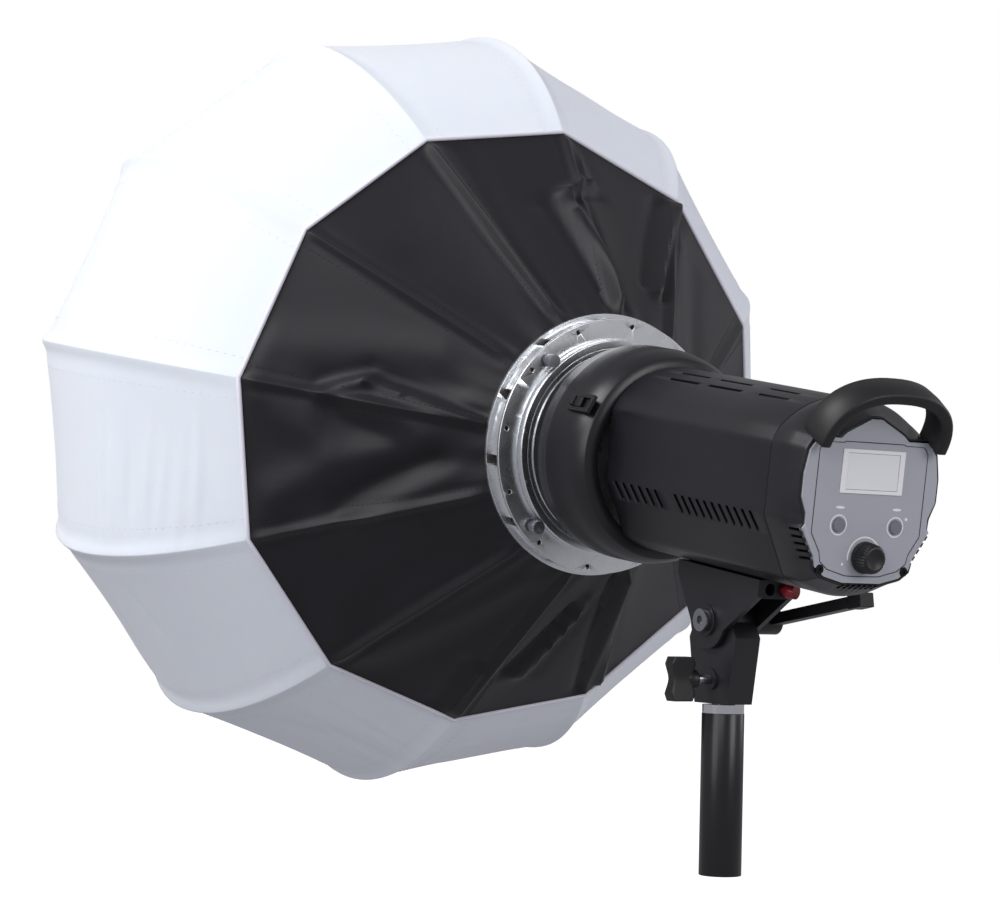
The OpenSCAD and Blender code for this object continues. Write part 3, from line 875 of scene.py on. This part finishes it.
    def stitches(self, name: str, white: bool) -> bpy.types.Object:
        """Sews rows of stitches beside each seam.

        Args:
            name: Name of the piece.
            white: Whether they run over the diffuser instead of the black panel.

        Returns:
            The stitches as one piece.
        """
        points: list = []
        faces: list = []
        count = 86 if white else 44
        for rib in range(self.ribs):
            for side in (-1, 1):
                gore = rib if side > 0 else rib + 1
                grid, _ = self.diffuser_gore(gore) if white else self.panel_gore(gore)
                rows = grid.shape[0]
                column = self.columns - (6 if white else 5)
                line = grid[:, column if side > 0 else self.columns - column, :]
                power = 1 / self.crowding if white else 1.0
                where = np.linspace(0.004, 0.98, count) ** power * (rows - 2)
                for w in where:
                    i = int(w)
                    part = w - i
                    start = line[i] * (1 - part) + line[i + 1] * part
                    run = line[i + 1] - line[i]
                    end = start + run * 4.2 / max(float(np.linalg.norm(run)), 0.1)
                    self._thread(points, faces, start, end, grid, i)
        piece = mesh_piece(name, points, faces)
        face_outwards(piece)
        return piece

    def _thread(
        self, points: list, faces: list, start: np.ndarray, end: np.ndarray, grid: np.ndarray, row: int
    ) -> None:
        """Adds one stitch as a low four-sided bead.

        Args:
            points: Gets its points.
            faces: Gets its faces.
            start: Its first end.
            end: Its other end.
            grid: The gore that it lies on.
            row: Its row in the gore.
        """
        run = end - start
        side = grid[row, 2] - grid[row, 0]
        normal = np.cross(run, side)
        normal /= max(np.linalg.norm(normal), 1e-9)
        if np.dot(normal, start - np.array([0, -self.ahead, 0])) < 0:
            normal = -normal
        wide = np.cross(run, normal)
        wide *= 0.32 / max(np.linalg.norm(wide), 1e-9)
        first = len(points)
        middle = (start + end) / 2 + normal * 0.35
        below = normal * 0.3
        points.extend([start - below, end - below, middle + wide, middle - wide, middle + normal * 0.2])
        corners = [(0, 2, 4), (0, 4, 3), (1, 4, 2), (1, 3, 4), (0, 3, 1, 2)]
        faces.extend([first + c for c in corner] for corner in corners)

    def cap(self) -> bpy.types.Object:
        """Builds the round patch at the front pole, crowned and hemmed."""
        y = -self.ahead + self.depth * math.cos(self.hub_t)
        profile = [
            (0.01, y - 1.6), (14, y - 1.3), (24, y - 0.4), (27.5, y + 0.6), (27.5, y + 1.4),
            (24, y + 0.6), (0.01, y + 0.2),
        ]
        return lathe("pole_patch", profile, 48, 0.3)

    def build(self) -> None:
        """Builds the covers and dresses the rods, the sockets and the speedring."""
        gores = list(range(self.ribs))
        settle = self.place.settle
        head = self.place.head
        patch = settle(self.cap(), head, TAPE, "softbox", "white_silk", ("front_cap",))
        white = settle(
            self.sheet("diffuser_cloth", gores, self.diffuser_gore, WHITE_CLOTH),
            head, WHITE_CLOTH, "softbox", "white_silk", ("diffuser",), 60,
        )
        black = settle(
            self.sheet("panel_cloth", gores, self.panel_gore, BLACK_CLOTH),
            head, BLACK_CLOTH, "softbox", "black_nylon", ("back_panel",), 60,
        )
        hem = settle(self.piping(), head, TAPE, "softbox", "white_silk", ("panel_hem",), 60)
        sewn = settle(self.stitches("diffuser_stitches", True), head, THREAD, "softbox", "white_silk")
        dark = settle(self.stitches("panel_stitches", False), head, DARK_THREAD, "softbox", "black_nylon")
        for node, finish, bevel in (
            ("speedring_flange", ZINC, 0.5), ("speedring_collar", ZINC, 0.8), ("rod_plate", ZINC, 0.5),
            ("rod_sockets", ZINC, 0.4), ("ribs", STEEL, 0), ("front_hub", NYLON, 0.8),
        ):
            self.place.dress(node, finish, bevel)
        for number in range(1, 5):
            self.place.dress(f"ring_knob_{number}", STEEL, 0.25)


@dataclass
class FlashHead:
    """Covers, control panel and handle of the flash head.

    Attributes:
        radius: Radius of the rounded main body.
        half_width: Half the width across its flat sides.
        barrel: Radius of the front barrel.
        barrel_y: Front edge of the barrel.
        body_y: Seam between the barrel and the body.
        bezel_y: Seam between the body and the bezel.
        panel_y: Face of the control panel.
        points_round: Points around a cover.
    """

    place: Placement
    radius: float = 67.5
    half_width: float = 57.0
    barrel: float = 80.5
    barrel_y: float = 24.0
    body_y: float = 86.0
    bezel_y: float = 281.0
    panel_y: float = 317.0
    points_round: int = 180
    display_z: float = 17.4
    button: Pair = (23.3, -18.0)
    dial_z: float = -38.5

    def __post_init__(self) -> None:
        """Lists the panel's outline from its peak to its foot."""
        self.panel_half = [
            (0, 54), (5, 53.8), (24, 44.2), (29, 40.5), (46, 40.5), (48, 39.5), (54, 31), (57, 15), (57, -1),
            (52.4, -12), (52, -19), (54, -22), (51, -27), (42, -41), (40.5, -48), (33, -53.6), (16, -58),
            (0, -58.3),
        ]

    def body_ring(self, angle: float, shrink: float = 0.0, taper: float = 0.0) -> Pair:
        """Finds the body's outline in one direction.

        Args:
            angle: Direction in radians from the top.
            shrink: Distance inside the outline.
            taper: Drop of the top towards the rear.

        Returns:
            Its x and z.
        """
        sine, cosine = math.sin(angle), math.cos(angle)
        reach = self.radius - shrink
        planes = [
            ((1, 0), self.half_width - shrink),
            ((0.888, -0.459), 58.4 - shrink),
            ((0.883, 0.469), 66.2 - shrink),
        ]
        for (nx, nz), distance in planes:
            towards = abs(sine) * nx + cosine * nz
            if towards > 0:
                reach = min(reach, distance / towards)
        x, z = reach * sine, reach * cosine
        return x, z - taper * max(z, 0) / self.radius

    def panel_ring(self, angle: float, scale: float = 1.0) -> Pair:
        """Finds the panel's outline in one direction.

        Args:
            angle: Direction in radians from the top.
            scale: Scale of the outline.

        Returns:
            Its x and z.
        """
        sine, cosine = abs(math.sin(angle)), math.cos(angle)
        best = 40.0
        for (ax, az), (bx, bz) in zip(self.panel_half, self.panel_half[1:]):
            det = sine * (az - bz) - cosine * (ax - bx)
            if abs(det) < 1e-9:
                continue
            reach = (ax * (az - bz) - az * (ax - bx)) / det
            part = (sine * az - cosine * ax) / det
            if -1e-6 <= part <= 1 + 1e-6 and reach > 0:
                best = reach
        side = math.copysign(1, math.sin(angle)) if sine > 1e-9 else 1
        return side * best * sine * scale, best * cosine * scale

    def angles(self) -> list[float]:
        """Returns the directions of the points around a cover."""
        return [2 * math.pi * k / self.points_round for k in range(self.points_round)]

    def shell(self) -> bpy.types.Object:
        """Builds the main cover with its ridges, seams and vents."""
        rings = []
        for y, shrink, taper in (
            (86.3, 3.0, 0), (86.3, 0.8, 0), (87.2, 0, 0), (150, 0, 1.0), (215, 0, 2.4), (280.2, 0, 4.0),
            (280.9, 0.8, 4.0), (280.9, 3.0, 4.0),
        ):
            rings.append([(x, y, z) for x, z in (self.body_ring(a, shrink, taper) for a in self.angles())])
        piece = loft("body_cover", rings)
        cutters = []
        for side in (-1, 1):
            for first, last, count in ((103, 154, 6), (179, 268, 11)):
                for i in range(count):
                    y = first + (last - first) * i / (count - 1)
                    cutter = box("cutter", (0, 0, 0), (12, 3.0, 19), 0)
                    turn_and_move(cutter, (side * 54.5, y, -25), (math.radians(24), side * -0.48, 0))
                    cutters.append(cutter)
            for first, last in ((105, 146), (153, 197), (212, 250)):
                for x, z, lean in ((19, 65.5, 0.30), (31, 61, 0.52)):
                    cutter = box("cutter", (0, 0, 0), (3.2, (last - first) * 0.9, 9), 0)
                    turn_and_move(cutter, (side * x, (first + last) / 2 + x * 0.3, z), (0, side * lean, 0))
                    cutters.append(cutter)
        cutter = join("cutters", cutters)
        modify(piece, "BOOLEAN", operation="DIFFERENCE", object=cutter, solver="EXACT")
        bpy.data.objects.remove(cutter)
        modify(piece, "BEVEL", width=0.5, segments=2, limit_method="ANGLE", angle_limit=math.radians(32))
        return piece

    def bezel(self) -> bpy.types.Object:
        """Builds the rear bezel that narrows to the panel's outline."""
        rings = []
        for y, share, shrink in (
            (281.3, 0, 2.5), (281.3, 0, 0.6), (282, 0, 0), (296, 0, 0), (302, 0.16, 0), (313, 0.92, 0),
            (315.4, 1, 0), (315.9, 1, 0.6), (315.9, 1, 1.7), (313.2, 1, 1.9),
        ):
            ring = []
            for a in self.angles():
                bx, bz = self.body_ring(a, shrink * (1 - share), 4.0)
                px, pz = self.panel_ring(a, 1.0 - shrink * share / 57)
                ring.append((bx + (px - bx) * share, y, bz + (pz - bz) * share))
            rings.append(ring)
        piece = loft("bezel_cover", rings)
        cutters = []
        for side in (-1, 1):
            for i in range(5):
                z = -22.5 - 4.6 * i
                x = 53.5 - 2.75 * i
                cutter = box("cutter", (0, 0, 0), (9, 14, 2.1), 0)
                turn_and_move(cutter, (side * x, 312.5, z), (0, side * 0.35, 0))
                cutters.append(cutter)
        for i in range(7):
            x = -13.5 + 4.5 * i
            cutters.append(box("cutter", (x, 314.0, -58.5), (3.0, 12, 3.4), 0))
        cutter = join("cutters", cutters)
        modify(piece, "BOOLEAN", operation="DIFFERENCE", object=cutter, solver="EXACT")
        bpy.data.objects.remove(cutter)
        modify(piece, "BEVEL", width=0.4, segments=2, limit_method="ANGLE", angle_limit=math.radians(32))
        return piece

    def barrel_cover(self) -> bpy.types.Object:
        """Builds the round front barrel with its stepped front edge and rear collar."""
        r = self.barrel
        profile = [
            (63, 24.0), (75.5, 24.0), (78.6, 25.2), (79.4, 28), (79.6, 36), (r - 0.2, 37), (r, 40),
            (r - 0.6, 66), (r - 2.4, 76), (r - 6.4, 83.5), (r - 11.0, 85.8), (64.0, 85.9), (64.0, 80),
            (76.4, 70), (76.6, 28), (63, 27),
        ]
        return lathe("barrel_cover", profile, 128, 0.4)

    def mount(self) -> bpy.types.Object:
        """Builds the black mount ring in front of the barrel."""
        profile = [
            (66, 8.4), (72.2, 8.4), (73, 9.4), (73, 15), (74.5, 16), (74.5, 23.7), (62.6, 23.7), (62.6, 21),
            (66, 20),
        ]
        return lathe("mount_collar", profile, 128, 0.3)

    def dial(self) -> bpy.types.Object:
        """Builds the fluted dial knob with a dished face."""
        flutes = 30
        rings = []
        for y, r, ripple in (
            (0.5, 9.6, 0), (0.5, 10.3, 0), (1.0, 10.6, 0), (2.6, 10.6, 0), (3.0, 10.0, 0.35),
            (10.6, 9.4, 0.35),
            (12.0, 8.6, 0.2), (12.7, 7.4, 0), (12.7, 6.6, 0), (12.2, 6.0, 0), (12.1, 0.4, 0),
        ):
            ring = []
            for k in range(flutes * 4):
                a = 2 * math.pi * k / (flutes * 4)
                reach = r + ripple * math.cos(flutes * a)
                ring.append((reach * math.sin(a), self.panel_y + y, self.dial_z + reach * math.cos(a)))
            rings.append(ring)
        return loft("dial_knob", rings)

    def handle(self) -> bpy.types.Object:
        """Builds the arched carry handle as a wide band that leans to the rear."""
        path = []
        steps = 40
        for i in range(steps + 1):
            a = math.pi * i / steps
            bulge = 0.82
            x = 47.5 * math.copysign(abs(math.cos(a)) ** bulge, math.cos(a))
            z = 38.5 * abs(math.sin(a)) ** bulge
            path.append((x, z))
        lean = math.radians(28)
        rings = []
        outline = [
            (-11, -3.0), (-9.6, -4.0), (0, -3.2), (9.6, -4.0), (11, -3.0), (11, 3.0), (9.4, 4.2), (0, 4.8),
            (-9.4, 4.2), (-11, 3.0),
        ]
        for i, (x, z) in enumerate(path):
            before, after = path[max(i - 1, 0)], path[min(i + 1, steps)]
            tx, tz = after[0] - before[0], after[1] - before[1]
            size = math.hypot(tx, tz)
            nx, nz = tz / size, -tx / size
            wide = 1.0 + 0.12 * abs(math.cos(math.pi * i / steps)) ** 3
            ring = []
            for w, h in outline:
                lx, ly, lz = x + nx * h, 5 + w * wide, z + nz * h
                ring.append((
                    lx,
                    self.panel_y - 5 + ly * math.cos(lean) + lz * math.sin(lean),
                    40.0 + lz * math.cos(lean) - ly * math.sin(lean),
                ))
            rings.append(ring)
        piece = loft("carry_band", rings)
        modify(piece, "BEVEL", width=0.8, segments=2, limit_method="ANGLE", angle_limit=math.radians(50))
        return piece

    def print_marks(self) -> bpy.types.Object:
        """Prints the rings, the dial's arc, its dots and a label bar over each button."""
        y = self.panel_y + 0.05
        marks = []
        for side in (-1, 1):
            centre = (side * self.button[0], self.button[1])
            marks.append(self._arc(centre, 6.0, 6.9, 0, 360, y))
            marks.append(self._arc((centre[0], centre[1] + 11.5), 0.0, 0.9, 0, 360, y, 4.0))
        marks.append(self._arc((0, self.dial_z), 12.6, 13.7, -100, 70, y))
        for x in (-17.0, 17.0):
            marks.append(self._arc((x, self.dial_z - 5), 0.0, 0.9, 0, 360, y))
        marks.append(self._arc((-self.button[0] - 8.5, self.button[1] + 5.5), 0.0, 1.1, 0, 360, y))
        return join("panel_print", marks)

    def _arc(
        self,
        centre: Pair,
        inner: float,
        outer: float,
        start: float,
        end: float,
        y: float,
        stretch: float = 1.0,
    ) -> bpy.types.Object:
        """Builds a flat ring, disc or arc of ink.

        Args:
            centre: Its x and z.
            inner: Inner radius.
            outer: Outer radius.
            start: First angle in degrees from the top.
            end: Last angle.
            y: Level of the print.
            stretch: Stretch along x.

        Returns:
            The mark.
        """
        steps = 48
        rings = []
        for i in range(steps + 1):
            a = math.radians(start + (end - start) * i / steps)
            ring = []
            for r, lift in ((inner, 0), (outer, 0), (outer, 0.12), (inner, 0.12)):
                ring.append((centre[0] - r * math.sin(a) * stretch, y + lift, centre[1] + r * math.cos(a)))
            rings.append(ring)
        return loft("mark", rings, caps=abs(end - start) < 360)

    def parting_line(self) -> bpy.types.Object:
        """Builds the thin dark line that runs inside the panel's edge."""
        rings = []
        for a in self.angles():
            x, z = self.panel_ring(a, 0.88)
            x = max(-44.5, min(44.5, x * 0.99))
            z = min(z, 36.5)
            size = math.hypot(x, z)
            ring = []
            for off, lift in ((-0.35, 0), (0.35, 0), (0.35, 0.08), (-0.35, 0.08)):
                ring.append((x * (1 + off / size), self.panel_y + 0.02 + lift, z * (1 + off / size)))
            rings.append(ring)
        return loft("panel_parting", rings + rings[:1], caps=False)

    def build(self) -> None:
        """Builds the covers and small pieces and dresses the CAD pieces."""
        settle = self.place.settle
        head = self.place.head
        settle(self.shell(), head, SHELL, "head", "shell_black", ("body_shell",), 30)
        settle(self.bezel(), head, SHELL, "head", "shell_black", ("rear_bezel",), 30)
        settle(self.barrel_cover(), head, SHELL, "head", "shell_black", ("front_barrel",), 40)
        settle(self.mount(), head, BLACK_SCREW, "head", "ring_black", ("mount_ring",), 40)
        settle(self.dial(), head, NYLON, "power_dial", "knob_plastic", ("power_dial",), 40)
        settle(self.handle(), head, GRIP, "head", "handle_black", ("carry_handle",), 50)
        settle(self.print_marks(), head, INK, "head", "white_plastic")
        settle(self.parting_line(), head, GROOVE, "head", "panel_grey")
        for node, finish, bevel in (
            ("bayonet_insert", ZINC, 0.6), ("slide_guide", NYLON, 0.5), ("release_slide", NYLON, 0.4),
            ("control_panel", PANEL, 0.35), ("display_frame", INK, 0.2), ("display_window", DISPLAY_PAINTED_GLOW, 0.2),
            ("panel_screws", BLACK_SCREW, 0.2), ("button_left", BUTTON, 0.5), ("button_right", BUTTON, 0.5),
            ("control_board", BOARD, 0.1), ("sensor_dome", FROST, 0), ("reflector_plate", ENAMEL, 0.3),
            ("flash_tube", GLASS, 0), ("modelling_lamp", GLASS, 0), ("lamp_socket", CERAMIC, 0.5),
            ("glass_dome", GLASS, 0), ("fan_frame", NYLON, 0.8), ("fan_rotor", NYLON, 0.2),
            ("capacitors", SLEEVE, 1.2), ("main_board", BOARD, 0.1), ("mains_inlet", NYLON, 0.6),
            ("inlet_pins", BRASS, 0.3), ("switch_frame", NYLON, 0.5), ("power_switch", NYLON, 0.8),
            ("sync_socket", STEEL, 0.3),
        ):
            self.place.dress(node, finish, bevel)


@dataclass
class StandBracket:
    """Stand tube, lower bracket, fork, lever and knobs."""

    place: Placement
    knob_x: float = 24.6
    knob_z: float = 136.7

    def wing_knob(self) -> bpy.types.Object:
        """Builds the T-knob: a waisted wing with chamfered tips on a round boss."""
        wing = box("wing", (self.knob_x + 12.5, 0, self.knob_z), (21, 11, 31), 0)
        activate(wing)
        bpy.ops.object.mode_set(mode="EDIT")
        bpy.ops.mesh.select_all(action="SELECT")
        bpy.ops.mesh.subdivide(number_cuts=5)
        bpy.ops.object.mode_set(mode="OBJECT")
        for vertex in wing.data.vertices:
            up = (vertex.co.z - self.knob_z) / 15.5
            out = (vertex.co.x - self.knob_x - 12.5) / 10.5
            vertex.co.x = self.knob_x + 12.5 + out * 10.5 * (0.66 + 0.34 * min(1, abs(up) * 1.25))
            vertex.co.y *= 0.72 + 0.28 * abs(up)
            if abs(up) > 0.9:
                vertex.co.x -= math.copysign(3.0, out) * (abs(out) > 0.9)
        modify(wing, "BEVEL", width=1.4, segments=2, limit_method="ANGLE", angle_limit=math.radians(40))
        modify(wing, "SUBSURF", levels=1, render_levels=1)
        boss = lathe("boss", [(0.01, 0), (6.4, 0), (7, 0.8), (6.2, 5), (4, 8), (0.01, 8)], 40, 0.3)
        turn_and_move(boss, (self.knob_x, 0, self.knob_z), (0, 0, -math.pi / 2))
        return join("wing_knob", [wing, boss])

    def build(self) -> None:
        """Builds the knob and dresses the CAD pieces."""
        settle = self.place.settle
        settle(self.wing_knob(), self.place.upright, NYLON, "stand_knob", "knob_plastic", ("stand_knob",), 50)
        for node, finish, bevel in (
            ("stand_tube", POWDER, 0.4), ("tube_ferrule", CHROME, 0), ("stand_stud", STEEL, 0.4),
            ("bracket_base", CAST, 1.4), ("knob_shank", STEEL, 0.3), ("tilt_fork", CAST, 1.0),
            ("tilt_bolt", STEEL, 0.7), ("tilt_nut", STEEL, 0.3), ("tilt_lever", NYLON, 1.6),
            ("lever_hub", NYLON, 1.0), ("umbrella_screw", RED, 0.5),
        ):
            self.place.dress(node, finish, bevel)


@dataclass
class Studio:
    """Camera, lights, floor and backdrop.

    Attributes:
        eye: Camera position.
        aim: Direction that the camera looks in.
        up: The camera's own upward direction.
        lens: Focal length in millimetres on a 36 mm sensor.
        floor_z: Level of the floor, under the lowest tilt of the softbox.
    """

    eye: Point = (1.02666, 1.44167, 0.19285)
    aim: Point = (-0.50278575, -0.86272579, 0.05395083)
    up: Point = (0.04868933, 0.03404931, 0.99823344)
    lens: float = 89.97
    floor_z: float = -0.8

    def camera(self) -> None:
        """Sets the camera at the viewing angle."""
        data = bpy.data.cameras.new("camera")
        data.lens = self.lens
        data.sensor_width = 36.0
        camera = bpy.data.objects.new("camera", data)
        bpy.context.scene.collection.objects.link(camera)
        back = -Vector(self.aim).normalized()
        up = Vector(self.up)
        side = up.cross(back).normalized()
        matrix = Matrix((side, back.cross(side), back)).transposed().to_4x4()
        matrix.translation = Vector(self.eye)
        camera.matrix_world = matrix
        bpy.context.scene.camera = camera

    def lamp(self, name: str, where: Point, target: Point, size: float, power: float, colour: str) -> None:
        """Adds one soft light.

        Args:
            name: Its name.
            where: Its position.
            target: What it points at.
            size: Its width and height.
            power: Its power in watts.
            colour: Its colour.
        """
        data = bpy.data.lights.new(name, "AREA")
        data.energy = power
        data.size = size
        data.color = linear(colour)[:3]
        light = bpy.data.objects.new(name, data)
        light.location = where
        light.rotation_euler = (Vector(target) - Vector(where)).to_track_quat("-Z", "Y").to_euler()
        bpy.context.scene.collection.objects.link(light)

    def backdrop(self) -> None:
        """Makes a white surround that is bright to the camera and softer as a light."""
        world = bpy.data.worlds.new("studio")
        bpy.context.scene.world = world
        world.use_nodes = True
        tree = world.node_tree
        tree.nodes.clear()
        seen = add_node(tree, "ShaderNodeBackground", inputs={"Color": (1, 1, 1, 1), "Strength": 1.0})
        lit = add_node(tree, "ShaderNodeBackground", inputs={"Color": linear("#f6f5fb"), "Strength": 0.37})
        path = add_node(tree, "ShaderNodeLightPath")
        mix = add_node(tree, "ShaderNodeMixShader", inputs={"Fac": path.outputs["Is Camera Ray"]})
        tree.links.new(lit.outputs[0], mix.inputs[1])
        tree.links.new(seen.outputs[0], mix.inputs[2])
        add_node(tree, "ShaderNodeOutputWorld", inputs={"Surface": mix.outputs[0]})

    def floor(self) -> None:
        """Lays a plain pale floor."""
        deselect()
        bpy.ops.mesh.primitive_plane_add(size=60, location=(0, 0, self.floor_z))
        floor = bpy.context.active_object
        floor.name = "floor"
        paint = Finish(
            "pale_floor_paint", "#fbfbfc", "#f8f8fa", 0.9, 0.02,
            pattern=Pattern.SMOOTH, patch=900, glow=0.85,
        )
        floor.data.materials.append(paint.build())
        floor.visible_diffuse = False
        floor.visible_glossy = False

    def build(self) -> None:
        """Sets up the camera, lights, floor and backdrop."""
        self.camera()
        self.backdrop()
        self.floor()
        middle = (0, -0.3, 0.33)
        self.lamp("key", (1.9, -0.3, 2.0), middle, 1.3, 42, "#ffffff")
        self.lamp("left_soft", (2.3, 0.3, 0.7), middle, 1.2, 11, "#fdfdff")
        self.lamp("rear_left", (2.0, 1.6, 1.4), (0, 0, 0.3), 1.0, 10, "#fbfbff")
        self.lamp("panel_fill", (-0.7, 2.6, 1.0), (0, 0.1, 0.3), 1.2, 20, "#ffffff")
        self.lamp("side_edge", (-2.2, 0.4, 0.9), middle, 1.0, 9, "#f6f6ff")
        view = bpy.context.scene.view_settings
        view.view_transform = "Standard"
        view.look = "None"


def main() -> None:
    """Builds the whole scene."""
    logging.basicConfig(level=logging.INFO, format="%(message)s")
    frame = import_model()
    Studio().build()
    place = Placement(frame)
    Softbox(place).build()
    FlashHead(place).build()
    StandBracket(place).build()


if __name__ == "__main__":
    main()
